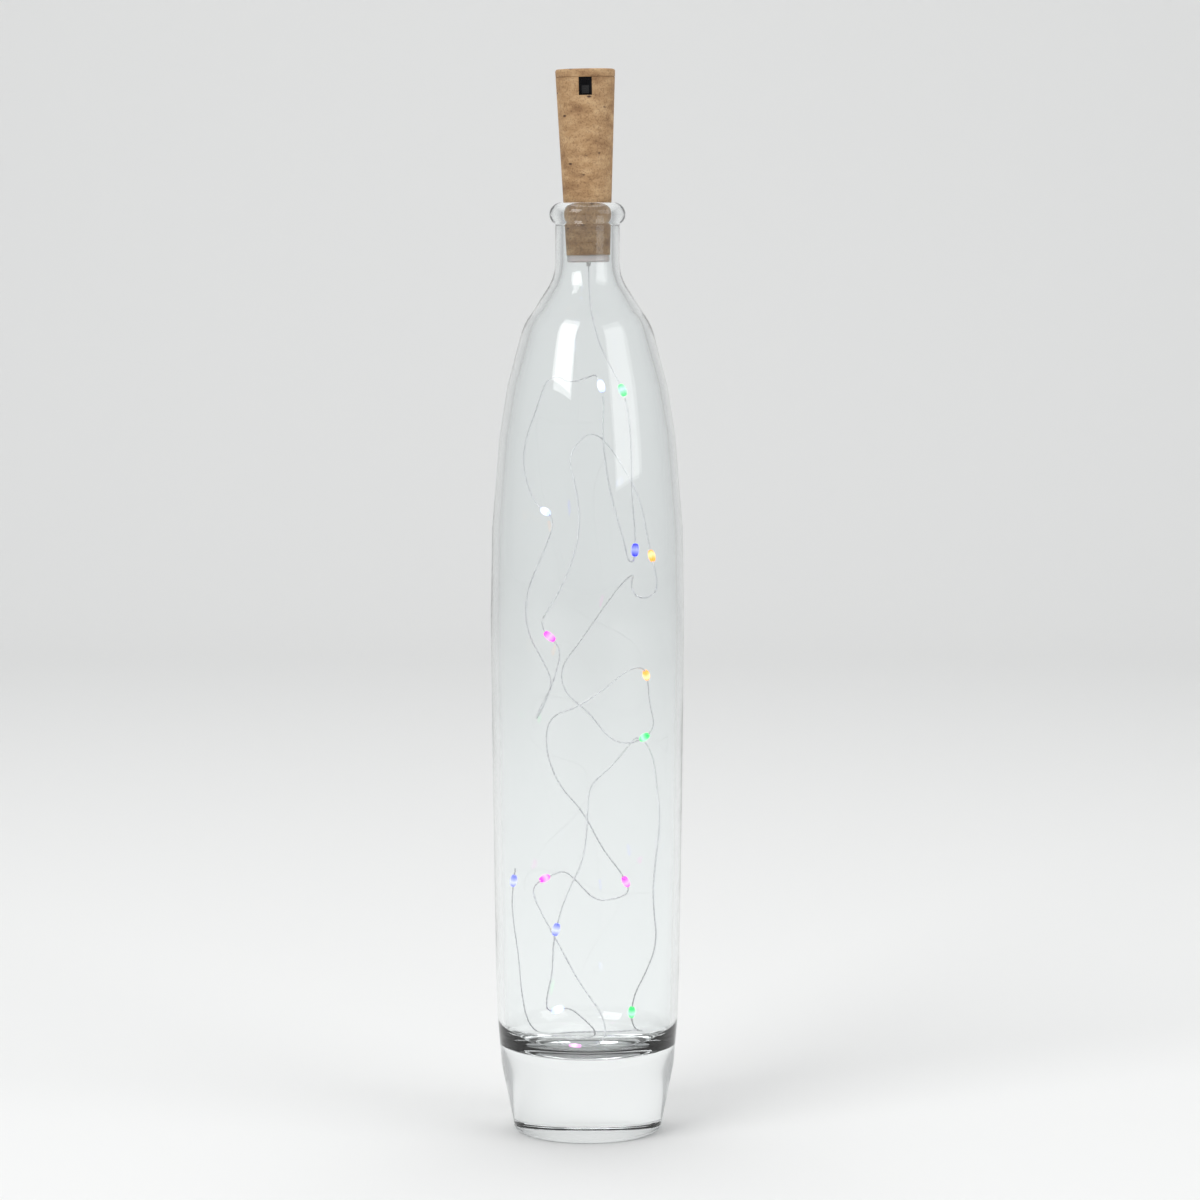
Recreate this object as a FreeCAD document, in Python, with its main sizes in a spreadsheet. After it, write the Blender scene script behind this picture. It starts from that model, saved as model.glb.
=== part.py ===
import FreeCAD, Part
import math
import os
import re

import Sketcher

# Cork bottle light: a clear bottle with a heavy base, a cork-shaped battery case in its mouth, and a
# string of fifteen small lamps on fine twisted wire that hangs inside. Millimetres, Z up, origin on the
# table under the middle of the foot, switch window towards -Y.

Vector = FreeCAD.Vector
doc = FreeCAD.newDocument("cork_bottle_light")
sheet = doc.addObject("Spreadsheet::Sheet", "Sizes")

SIZES = [
    # bottle, from the table up: the rise to each height and the outside radius there
    ("wall", 3.0),
    ("foot_radius", 28.8),
    ("foot_round", 2.2),
    ("bearing_ring", 3.6),
    ("push_up", 1.4),
    ("heel_height", 26.0),
    ("heel_radius", 33.6),
    ("heel_arc", 400.0),
    ("waist_rise", 38.0),
    ("waist_radius", 35.7),
    ("belly_rise", 136.0),
    ("belly_radius", 37.4),
    ("shoulder_rise", 71.0),
    ("shoulder_radius", 33.8),
    ("shoulder_arc", 560.0),
    ("brow_rise", 38.0),
    ("brow_radius", 25.7),
    ("brow_arc", 190.0),
    ("crown_rise", 9.5),
    ("crown_radius", 20.9),
    ("crown_arc", 25.0),
    ("throat_rise", 9.0),
    ("throat_radius", 15.2),
    ("throat_arc", 18.7),
    ("neck_rise", 10.0),
    ("neck_length", 22.5),
    ("neck_radius", 12.3),
    ("bead_radius", 14.35),
    ("bead_section", 4.5),
    ("base_thickness", 32.5),
    ("cavity_corner", 11.5),
    ("cavity_bulge", 0.60526),
    ("sloped_wall", 3.5),
    ("throat_inner_arc", 26.0),
    # cork, about its own axis, heights from the bottle's rim
    ("cork_proud", 50.5),
    ("plug_depth", 22.7),
    ("cork_top_radius", 11.45),
    ("cork_end_radius", 8.2),
    ("seat_clearance", 0.2),
    ("cap_thickness", 3.0),
    ("cap_round", 0.9),
    ("cap_seam", 0.15),
    ("window_width", 5.0),
    ("window_height", 7.0),
    ("tray_radius", 7.7),
    ("tray_clearance", 0.2),
    ("lead_bore_radius", 3.5),
    ("end_cap_thickness", 2.8),
    ("end_cap_round", 0.8),
    ("end_cap_inset", 0.1),
    ("spigot_height", 3.0),
    ("spigot_clearance", 0.1),
    ("gland_radius", 0.8),
    ("gland_drop", 1.5),
    ("gland_clearance", 0.1),
    ("gland_flange_radius", 1.9),
    ("gland_flange_height", 0.8),
    # cells and contacts
    ("cell_radius", 5.8),
    ("cell_height", 5.4),
    ("cell_chamfer", 0.4),
    ("cell_button_radius", 4.9),
    ("cell_button_height", 0.5),
    ("bay_clearance", 0.15),
    ("strip_thickness", 0.3),
    ("strip_width", 2.4),
    ("plate_thickness", 0.4),
    ("bow_height", 3.5),
    ("tray_floor", 2.0),
    ("bulkhead", 1.5),
    ("slot_clearance", 0.1),
    ("foot_length", 3.0),
    ("leaf_height", 3.0),
    ("leaf_travel_gap", 0.1),
    ("contact_board_thickness", 1.0),
    # switch and its board
    ("housing_width", 6.0),
    ("housing_height", 7.6),
    ("housing_depth", 3.4),
    ("knob_width", 2.8),
    ("knob_height", 3.0),
    ("knob_proud", 1.9),
    ("knob_inset", 1.6),
    ("knob_travel", 2.0),
    ("knob_clearance", 0.15),
    ("knob_rib", 0.3),
    ("pin_radius", 0.3),
    ("pin_length", 2.2),
    ("pin_pitch", 2.0),
    ("pin_hole_clearance", 0.15),
    ("board_inset", 4.0),
    ("board_width", 9.4),
    ("board_thickness", 0.8),
    ("resistor_length", 3.2),
    ("resistor_width", 1.6),
    ("resistor_height", 0.6),
    ("lead_radius", 0.3),
    ("lead_spread", 1.3),
    # string of lamps
    ("wire_diameter", 0.76),
    ("first_run", 8.5),
    ("lamp_length", 5.0),
    ("lamp_straight", 2.4),
    ("lamp_radius", 1.45),
    ("lamp_end_step", 0.45),
    ("lamp_bore_radius", 0.7),
    ("overrun", 1.0),
]
# Heights that follow from the rises
HEIGHTS = [
    ("waist_height", "heel_height + waist_rise"),
    ("belly_height", "waist_height + belly_rise"),
    ("shoulder_height", "belly_height + shoulder_rise"),
    ("brow_height", "shoulder_height + brow_rise"),
    ("crown_height", "brow_height + crown_rise"),
    ("throat_height", "crown_height + throat_rise"),
    ("neck_height", "throat_height + neck_rise"),
    ("bottle_height", "neck_height + neck_length"),
]
CORK_LEAN_DEGREES = 1.0
KNOB_RIBS = 3
WIRE_SIDES = 4
LAMP_SIDES = 8
BORE_SIDES = 6
PIN_SIDES = 6
SHORT_ARC_COUNT = 2
LONG_ARC_COUNT = 3
BEAD_COUNT = 5
ARC_RUN_SHARE = 0.45

for row, (alias, number) in enumerate(SIZES, start=1):
    sheet.set(f"A{row}", alias)
    sheet.set(f"B{row}", str(number))
    sheet.setAlias(f"B{row}", alias)
for row, (alias, total) in enumerate(HEIGHTS, start=len(SIZES) + 1):
    sheet.set(f"A{row}", alias)
    sheet.set(f"B{row}", "=" + total)
    sheet.setAlias(f"B{row}", alias)
doc.recompute()

NAMES = sorted((alias for alias, size in SIZES + HEIGHTS), key=len, reverse=True)
NAME_PATTERN = re.compile(r"\b(" + "|".join(NAMES) + r")\b")


def bound(text):
    """The expression with every size named as a cell of the sheet."""
    return NAME_PATTERN.sub(r"Sizes.\1", str(text))


def value(text):
    return float(sheet.evalExpression(bound(text)))


def bind(thing, prop, text):
    thing.setExpression(prop, bound(text))


# Sketched bodies


def origin_plane(body, role):
    return [f for f in body.Origin.OriginFeatures if f.Role == role][0]


def arc_geometry(start, end, radius):
    """A minor arc; a positive radius has its centre left of the way from start to end."""
    a, b = Vector(*start, 0), Vector(*end, 0)
    chord = b - a
    left = Vector(-chord.y, chord.x, 0).normalize()
    rise = math.sqrt(radius**2 - (chord.Length / 2) ** 2)
    centre = (a + b) / 2 + left * math.copysign(rise, radius)
    first, last = (a, b) if radius > 0 else (b, a)
    turn = [math.atan2((p - centre).y, (p - centre).x) for p in (first, last)]
    circle = Part.Circle(centre, Vector(0, 0, 1), abs(radius))
    return Part.ArcOfCircle(circle, turn[0], turn[1])


def chords(sketch, start, end, radius, count):
    """Equal chords of an arc that stays as construction geometry."""
    curve = arc_geometry(start, end, radius)
    guide = sketch.addGeometry(curve, True)
    first, last = curve.FirstParameter, curve.LastParameter
    guide_ends = (1, 2)
    if radius < 0:
        first, last = last, first
        guide_ends = (2, 1)
    places = [curve.value(first + (last - first) * i / count) for i in range(count + 1)]
    edges = []
    for here, there in zip(places, places[1:]):
        edges.append(sketch.addGeometry(Part.LineSegment(here, there), False))
    for before, after in zip(edges, edges[1:]):
        sketch.addConstraint(Sketcher.Constraint("Coincident", before, 2, after, 1))
        sketch.addConstraint(Sketcher.Constraint("PointOnObject", after, 1, guide))
        sketch.addConstraint(Sketcher.Constraint("Equal", before, after))
    sketch.addConstraint(Sketcher.Constraint("Coincident", guide, guide_ends[0], edges[0], 1))
    sketch.addConstraint(Sketcher.Constraint("Coincident", guide, guide_ends[1], edges[-1], 2))
    return guide, edges[0], edges[-1]


def outline(body, name, role, steps, height=None):
    """A closed sketch through points (across, up, way to the next point), all expressions.

    The way is None for a line, a radius for an arc, or a radius and a count for an arc's chords.
    """
    sketch = body.newObject("Sketcher::SketchObject", name)
    sketch.AttachmentSupport = [(origin_plane(body, role), "")]
    sketch.MapMode = "FlatFace"
    if height is not None:
        bind(sketch, "AttachmentOffset.Base.z", height)
    places = [(value(across), value(up)) for across, up, way in steps]
    starts, ends, arcs = [], [], []
    for i, (across, up, way) in enumerate(steps):
        here, there = places[i], places[(i + 1) % len(steps)]
        arc, count = way if isinstance(way, tuple) else (way, None)
        if arc is None:
            line = Part.LineSegment(Vector(*here, 0), Vector(*there, 0))
            edge = sketch.addGeometry(line, False)
            starts.append((edge, 1))
            ends.append((edge, 2))
        elif count is None:
            edge = sketch.addGeometry(arc_geometry(here, there, value(arc)), False)
            starts.append((edge, 1 if value(arc) > 0 else 2))
            ends.append((edge, 2 if value(arc) > 0 else 1))
            arcs.append((edge, arc))
        else:
            guide, first_edge, last_edge = chords(sketch, here, there, value(arc), count)
            starts.append((first_edge, 1))
            ends.append((last_edge, 2))
            arcs.append((guide, arc))
    for i, end in enumerate(ends):
        sketch.addConstraint(Sketcher.Constraint("Coincident", *end, *starts[(i + 1) % len(ends)]))
    for i, (across, up, way) in enumerate(steps):
        edge, first = starts[i]
        for kind, axis, text, place in (
            ("DistanceX", -2, across, places[i][0]),
            ("DistanceY", -1, up, places[i][1]),
        ):
            if str(text) == "0":
                sketch.addConstraint(Sketcher.Constraint("PointOnObject", edge, first, axis))
            else:
                made = sketch.addConstraint(Sketcher.Constraint(kind, -1, 1, edge, first, place))
                sketch.renameConstraint(made, f"{kind}_{i}")
                bind(sketch, f"Constraints.{kind}_{i}", text)
    for i, (edge, arc) in enumerate(arcs):
        made = sketch.addConstraint(Sketcher.Constraint("Radius", edge, abs(value(arc))))
        sketch.renameConstraint(made, f"Arc_{i}")
        bind(sketch, f"Constraints.Arc_{i}", f"abs({arc})")
    return sketch


def turned(name, steps):
    """A body turned about Z from its half outline (radius, height, arc)."""
    body = doc.addObject("PartDesign::Body", name)
    body.Label = name
    sketch = outline(body, name + "_profile", "XZ_Plane", steps)
    turn = body.newObject("PartDesign::Revolution", name + "_turn")
    turn.Profile = sketch
    turn.ReferenceAxis = (sketch, ["V_Axis"])
    turn.Angle = 360
    return body


def pocketed(body, name, steps, top, depth):
    """A pocket cut down from a height through an outline seen from above."""
    sketch = outline(body, name + "_outline", "XY_Plane", steps, top)
    pocket = body.newObject("PartDesign::Pocket", name)
    pocket.Profile = sketch
    bind(pocket, "Length", depth)
    return pocket


def rectangle(left, right, front, back):
    return [(left, front, None), (right, front, None), (right, back, None), (left, back, None)]


def bent_strip(name, steps, width, across="0"):
    """A strip whose side outline (back, up) is padded evenly to both sides of its middle."""
    body = doc.addObject("PartDesign::Body", name)
    body.Label = name
    sketch = outline(body, name + "_side", "YZ_Plane", steps, across)
    pad = body.newObject("PartDesign::Pad", name + "_pad")
    pad.Profile = sketch
    bind(pad, "Length", width)
    pad.Midplane = True
    return body


# Primitives


def box(name, width, depth, height, x, y, z):
    solid = doc.addObject("Part::Box", name)
    for prop, text in (("Length", width), ("Width", depth), ("Height", height)):
        bind(solid, prop, text)
    for axis, text in (("x", x), ("y", y), ("z", z)):
        bind(solid, "Placement.Base." + axis, text)
    return solid


def rod(name, radius, length, x, y, z, axis=Vector(0, 0, 1), sides=None):
    """A round rod, or a prism with a count of sides."""
    solid = doc.addObject("Part::Prism" if sides else "Part::Cylinder", name)
    if sides:
        solid.Polygon = sides
    bind(solid, "Circumradius" if sides else "Radius", radius)
    bind(solid, "Height", length)
    solid.Placement = FreeCAD.Placement(Vector(), FreeCAD.Rotation(Vector(0, 0, 1), axis))
    for axis_name, text in (("x", x), ("y", y), ("z", z)):
        bind(solid, "Placement.Base." + axis_name, text)
    return solid


def joined(name, pieces):
    group = doc.addObject("Part::Compound", name)
    group.Links = pieces
    return group


def cut(name, base, tools):
    for i, tool in enumerate(tools):
        result = doc.addObject("Part::Cut", name if i == len(tools) - 1 else f"{name}_cut_{i}")
        result.Base = base
        result.Tool = tool
        base = result
    return base


nodes = {}


def keep(name, thing, placement=None):
    thing.Label = name
    if placement is not None:
        thing.Placement = placement
    nodes[name] = thing


# Bottle: one turned wall from the hollow under the foot, up the outside, over the lip and down inside


bore_radius = (
    "(cork_end_radius + (cork_top_radius - cork_end_radius) * plug_depth"
    " / (cork_proud + plug_depth) + seat_clearance)"
)
ring_inner = "(foot_radius - foot_round - bearing_ring)"
bead_foot_rise = "sqrt(bead_section ^ 2 - (neck_radius - bead_radius + bead_section) ^ 2)"
lip_height = f"(bottle_height - (bead_radius - bead_section - {bore_radius}))"
cavity_radius = (
    "(heel_radius + (waist_radius - heel_radius) * (base_thickness + cavity_corner - heel_height) / waist_rise"
    " - wall + cavity_bulge)"
)
bottle_outline = [
    ("0", "push_up", None),
    (ring_inner, "0", None),
    ("foot_radius - foot_round", "0", ("foot_round", SHORT_ARC_COUNT)),
    ("foot_radius", "foot_round", None),
    ("heel_radius", "heel_height", "heel_arc"),
    ("waist_radius", "waist_height", None),
    ("belly_radius", "belly_height", "shoulder_arc"),
    ("shoulder_radius", "shoulder_height", ("brow_arc", LONG_ARC_COUNT)),
    ("brow_radius", "brow_height", ("crown_arc", SHORT_ARC_COUNT)),
    ("crown_radius", "crown_height", None),
    ("throat_radius", "throat_height", ("-throat_arc", SHORT_ARC_COUNT)),
    ("neck_radius", "neck_height", None),
    ("neck_radius", f"bottle_height - bead_section - {bead_foot_rise}", ("bead_section", BEAD_COUNT)),
    ("bead_radius - bead_section", "bottle_height", None),
    (bore_radius, lip_height, None),
    (bore_radius, "neck_height", ("throat_inner_arc", SHORT_ARC_COUNT)),
    ("throat_radius - sloped_wall", "throat_height", None),
    ("crown_radius - sloped_wall", "crown_height", ("-(crown_arc - wall)", SHORT_ARC_COUNT)),
    ("brow_radius - sloped_wall", "brow_height", ("-(brow_arc - wall)", LONG_ARC_COUNT)),
    ("shoulder_radius - wall", "shoulder_height", "-(shoulder_arc - wall)"),
    ("belly_radius - wall", "belly_height", None),
    ("waist_radius - wall", "waist_height", None),
    (cavity_radius, "base_thickness + cavity_corner", ("-cavity_corner", LONG_ARC_COUNT)),
    (f"{cavity_radius} - cavity_corner", "base_thickness", None),
    ("0", "base_thickness", None),
]
keep("bottle", turned("bottle", bottle_outline))

# Cork pieces stand about the cork's own axis and share one placement, which leans as in the photograph

cork_seat = FreeCAD.Placement(
    Vector(0, 0, value("bottle_height")),
    FreeCAD.Rotation(Vector(0, 1, 0), -CORK_LEAN_DEGREES),
)


def cork_radius(height):
    taper = "(cork_top_radius - cork_end_radius) / (cork_proud + plug_depth)"
    return f"(cork_end_radius + ({height} + plug_depth) * {taper})"


cap_under = "(cork_proud - cap_thickness)"
shell_top = f"({cap_under} - cap_seam)"
shell_end = "(end_cap_thickness - plug_depth)"
end_cap_radius = "(cork_end_radius - end_cap_inset)"
switch_floor = f"({cap_under} - housing_height - strip_thickness)"
plate_top = f"({switch_floor} - bulkhead)"
cells_top = f"({plate_top} - plate_thickness)"
cells_end = f"({cells_top} - 3 * cell_height)"
bay_floor = f"({cells_end} - bow_height)"
tray_end = f"({bay_floor} - tray_floor)"
leaf_floor = f"({tray_end} - strip_thickness - leaf_travel_gap - leaf_height)"
ledge = f"({leaf_floor} - contact_board_thickness)"

shell = turned(
    "cork_body",
    [
        ("lead_bore_radius", shell_end, None),
        (cork_radius(shell_end), shell_end, None),
        (cork_radius(shell_top), shell_top, None),
        ("tray_radius + tray_clearance", shell_top, None),
        ("tray_radius + tray_clearance", ledge, None),
        ("lead_bore_radius", ledge, None),
    ],
)
pocketed(
    shell,
    "switch_window",
    rectangle("-window_width / 2", "window_width / 2", "-(cork_top_radius + overrun)", "-tray_radius / 2"),
    f"{shell_top} + overrun",
    "window_height - cap_seam + overrun",
)
keep("cork_body", shell, cork_seat)

keep(
    "cork_top_cap",
    turned(
        "cork_top_cap",
        [
            ("0", cap_under, None),
            (cork_radius(cap_under), cap_under, None),
            (cork_radius("(cork_proud - cap_round)"), "cork_proud - cap_round", ("cap_round", SHORT_ARC_COUNT)),
            ("cork_top_radius - cap_round", "cork_proud", None),
            ("0", "cork_proud", None),
        ],
    ),
    cork_seat,
)

keep(
    "cork_end_cap",
    turned(
        "cork_end_cap",
        [
            ("gland_radius + gland_clearance", "-plug_depth", None),
            (f"{end_cap_radius} - end_cap_round", "-plug_depth", ("end_cap_round", SHORT_ARC_COUNT)),
            (end_cap_radius, "end_cap_round - plug_depth", None),
            (end_cap_radius, shell_end, None),
            ("lead_bore_radius - spigot_clearance", shell_end, None),
            ("lead_bore_radius - spigot_clearance", f"{shell_end} + spigot_height", None),
            ("gland_radius + gland_clearance", f"{shell_end} + spigot_height", None),
        ],
    ),
    cork_seat,
)

gland_seat = f"({shell_end} + spigot_height)"
gland_end = "(-plug_depth - gland_drop)"
keep(
    "wire_gland",
    turned(
        "wire_gland",
        [
            ("0", gland_end, None),
            ("gland_radius", gland_end, None),
            ("gland_radius", gland_seat, None),
            ("gland_flange_radius", gland_seat, None),
            ("gland_flange_radius", f"{gland_seat} + gland_flange_height", None),
            ("0", f"{gland_seat} + gland_flange_height", None),
        ],
    ),
    cork_seat,
)

# Battery tray: a round carrier with a cell bay open to the back and a switch bay open to the front


bay_radius = "(cell_radius + bay_clearance)"
board_front = "(board_inset - tray_radius)"
housing_front = f"({board_front} - housing_depth)"
board_back = f"({board_front} + board_thickness)"
beyond = "(tray_radius + overrun)"
tray = turned(
    "battery_tray",
    [
        ("0", tray_end, None),
        ("tray_radius", tray_end, None),
        ("tray_radius", cap_under, None),
        ("0", cap_under, None),
    ],
)
pocketed(
    tray,
    "cell_bay",
    [
        (f"-{bay_radius}", "0", bay_radius),
        ("0", f"-{bay_radius}", bay_radius),
        (bay_radius, "0", None),
        (bay_radius, beyond, None),
        (f"-{bay_radius}", beyond, None),
    ],
    plate_top,
    f"{plate_top} - {bay_floor}",
)
half_housing = "(housing_width / 2 + slot_clearance)"
half_board = "(board_width / 2 + slot_clearance)"
pocketed(
    tray,
    "switch_bay",
    [
        (f"-{half_housing}", f"-{beyond}", None),
        (half_housing, f"-{beyond}", None),
        (half_housing, board_front, None),
        (half_board, board_front, None),
        (half_board, beyond, None),
        (f"-{half_board}", beyond, None),
        (f"-{half_board}", board_front, None),
        (f"-{half_housing}", board_front, None),
    ],
    f"{cap_under} + overrun",
    f"{cap_under} - {switch_floor} + overrun",
)
half_strip = "(strip_width / 2 + slot_clearance)"
groove_depth = "(strip_thickness + slot_clearance)"
pocketed(
    tray,
    "strip_groove",
    rectangle(f"-{half_strip}", half_strip, f"-{beyond}", f"{housing_front} + {groove_depth}"),
    f"{switch_floor} + overrun",
    f"{switch_floor} - {tray_end} + 2 * overrun",
)
pocketed(
    tray,
    "tab_slot",
    rectangle(
        f"-{half_strip}",
        half_strip,
        board_back,
        f"{board_back} + plate_thickness + slot_clearance",
    ),
    f"{switch_floor} + overrun",
    "bulkhead + 2 * overrun",
)
tail_front = "(bay_clearance + strip_width)"
pocketed(
    tray,
    "tail_slot",
    rectangle(
        f"-{half_strip}",
        half_strip,
        tail_front,
        f"{tail_front} + strip_thickness + slot_clearance",
    ),
    f"{bay_floor} + overrun",
    "tray_floor + 2 * overrun",
)
keep("battery_tray", tray, cork_seat)

for i, name in enumerate(("button_cell_lower", "button_cell_middle", "button_cell_upper")):
    foot = f"({cells_end} + {i} * cell_height)"
    cell = turned(
        name,
        [
            ("0", foot, None),
            ("cell_button_radius", foot, None),
            ("cell_button_radius", f"{foot} + cell_button_height", None),
            ("cell_radius", f"{foot} + cell_button_height", None),
            ("cell_radius", f"{foot} + cell_height - cell_chamfer", None),
            ("cell_radius - cell_chamfer", f"{foot} + cell_height", None),
            ("0", f"{foot} + cell_height", None),
        ],
    )
    keep(name, cell, cork_seat)

# Contacts: bent strips seen from the side, (back, up)

keep(
    "positive_contact",
    bent_strip(
        "positive_contact",
        [
            (board_back, cells_top, None),
            ("cell_radius / 2", cells_top, None),
            ("cell_radius / 2", plate_top, None),
            (f"{board_back} + plate_thickness", plate_top, None),
            (f"{board_back} + plate_thickness", f"{switch_floor} + foot_length / 2", None),
            (board_back, f"{switch_floor} + foot_length / 2", None),
        ],
        "strip_width",
    ),
    cork_seat,
)
bow_back = f"({tail_front} + strip_thickness)"
keep(
    "negative_contact",
    bent_strip(
        "negative_contact",
        [
            (tail_front, f"{tray_end} - strip_thickness", None),
            (f"{tail_front} + foot_length", f"{tray_end} - strip_thickness", None),
            (f"{tail_front} + foot_length", tray_end, None),
            (bow_back, tray_end, None),
            (bow_back, f"{bay_floor} + strip_thickness", None),
            ("strip_thickness - cell_radius / 2", f"{bay_floor} + strip_thickness", None),
            ("strip_thickness", f"{cells_end} - strip_thickness", None),
            (tail_front, f"{cells_end} - strip_thickness", None),
            (tail_front, cells_end, None),
            ("0", cells_end, None),
            ("-strip_thickness - cell_radius / 2", bay_floor, None),
            (tail_front, bay_floor, None),
        ],
        "strip_width",
    ),
    cork_seat,
)
keep(
    "switch_strip",
    bent_strip(
        "switch_strip",
        [
            (housing_front, f"{tray_end} - strip_thickness", None),
            (f"{housing_front} + foot_length", f"{tray_end} - strip_thickness", None),
            (f"{housing_front} + foot_length", tray_end, None),
            (f"{housing_front} + strip_thickness", tray_end, None),
            (f"{housing_front} + strip_thickness", switch_floor, None),
            (f"{housing_front} + foot_length", switch_floor, None),
            (f"{housing_front} + foot_length", f"{switch_floor} + strip_thickness", None),
            (housing_front, f"{switch_floor} + strip_thickness", None),
        ],
        "strip_width",
    ),
    cork_seat,
)
leaf_tip = f"({leaf_floor} + leaf_height)"


def leaf(name, middle, way):
    """A sprung leaf on the contact board, its arch under one foot of the tray."""
    rise = "foot_length / 2"
    side = [
        (f"{middle} - {way} * {rise}", leaf_floor, None),
        (f"{middle} + {way} * {rise}", leaf_floor, None),
        (f"{middle} + {way} * {rise}", f"{leaf_floor} + strip_thickness", None),
        (f"{middle} - {way} * ({rise} - 2 * strip_thickness)", f"{leaf_floor} + strip_thickness", None),
        (f"{middle} - {way} * strip_thickness", f"{leaf_tip} - strip_thickness", None),
        (f"{middle} + {way} * {rise}", f"{leaf_tip} - strip_thickness", None),
        (f"{middle} + {way} * {rise}", leaf_tip, None),
        (f"{middle} - {way} * 2 * strip_thickness", leaf_tip, None),
    ]
    keep(name, bent_strip(name, side, "strip_width"), cork_seat)


leaf("front_leaf_contact", f"({housing_front} + foot_length / 2)", "1")
leaf("back_leaf_contact", f"({tail_front} + foot_length / 2)", "1")

board_disc = rod("contact_board_disc", "tray_radius", "contact_board_thickness", "0", "0", ledge)
lead_holes = [
    rod(
        f"lead_hole_{i}",
        "lead_radius + pin_hole_clearance",
        "contact_board_thickness + 2 * overrun",
        f"{side} * lead_spread",
        "0",
        f"{ledge} - overrun",
        sides=PIN_SIDES,
    )
    for i, side in enumerate((-1, 1))
]
keep("contact_board", cut("contact_board", board_disc, lead_holes), cork_seat)
leads = [
    rod(
        f"lead_{i}",
        "lead_radius",
        f"{leaf_floor} - {gland_seat} - gland_flange_height",
        f"{side} * lead_spread",
        "0",
        f"{gland_seat} + gland_flange_height",
        sides=PIN_SIDES,
    )
    for i, side in enumerate((-1, 1))
]
keep("lead_wires", joined("lead_wires", leads), cork_seat)

# Slide switch behind the window: a pressed can, a ribbed knob, three pins and the board they go through


can_floor = f"({switch_floor} + strip_thickness)"
knob_foot = f"({can_floor} + (housing_height - knob_height - knob_travel) / 2)"
knob_top = f"({knob_foot} + knob_height)"
slot_end = f"({knob_foot} - knob_clearance)"
can = box(
    "switch_can",
    "housing_width",
    "housing_depth",
    "housing_height",
    "-housing_width / 2",
    housing_front,
    can_floor,
)
slot = box(
    "switch_slot",
    "knob_width + 2 * knob_clearance",
    "knob_inset + knob_clearance + overrun",
    "knob_height + knob_travel + 2 * knob_clearance",
    "-knob_width / 2 - knob_clearance",
    f"{housing_front} - overrun",
    slot_end,
)
keep("switch_housing", cut("switch_housing", can, [slot]), cork_seat)

knob_front = f"({housing_front} - knob_proud)"
rib_pitch = f"(knob_height / {2 * KNOB_RIBS + 1})"
knob_side = [
    (f"{housing_front} + knob_inset", knob_foot, None),
    (f"{housing_front} + knob_inset", knob_top, None),
]
for i in range(2 * KNOB_RIBS + 1, 0, -1):
    face = knob_front if i % 2 else f"({knob_front} + knob_rib)"
    knob_side.append((face, f"{knob_foot} + {i} * {rib_pitch}", None))
    knob_side.append((face, f"{knob_foot} + {i - 1} * {rib_pitch}", None))
keep("switch_knob", bent_strip("switch_knob", knob_side, "knob_width"), cork_seat)

pin_height = f"({can_floor} + housing_height / 2)"
pins = [
    rod(
        f"pin_{i}",
        "pin_radius",
        "pin_length",
        f"{i - 1} * pin_pitch",
        board_front,
        pin_height,
        Vector(0, 1, 0),
        PIN_SIDES,
    )
    for i in range(3)
]
keep("switch_pins", joined("switch_pins", pins), cork_seat)

board_blank = box(
    "board_blank",
    "board_width",
    "board_thickness",
    f"{cap_under} - {switch_floor}",
    "-board_width / 2",
    board_front,
    switch_floor,
)
pin_holes = [
    rod(
        f"pin_hole_{i}",
        "pin_radius + pin_hole_clearance",
        "board_thickness + 2 * overrun",
        f"{i - 1} * pin_pitch",
        f"{board_front} - overrun",
        pin_height,
        Vector(0, 1, 0),
        PIN_SIDES,
    )
    for i in range(3)
]
keep("circuit_board", cut("circuit_board", board_blank, pin_holes), cork_seat)
chip = box(
    "resistor_chip",
    "resistor_length",
    "resistor_height",
    "resistor_width",
    "-resistor_length / 2",
    board_back,
    f"{pin_height} + pin_pitch / 2",
)
keep("resistor", joined("resistor", [chip]), cork_seat)

# Wire of the lamp string: its route, chosen by hand along the traced wire, from the gland to the last lamp

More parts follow.
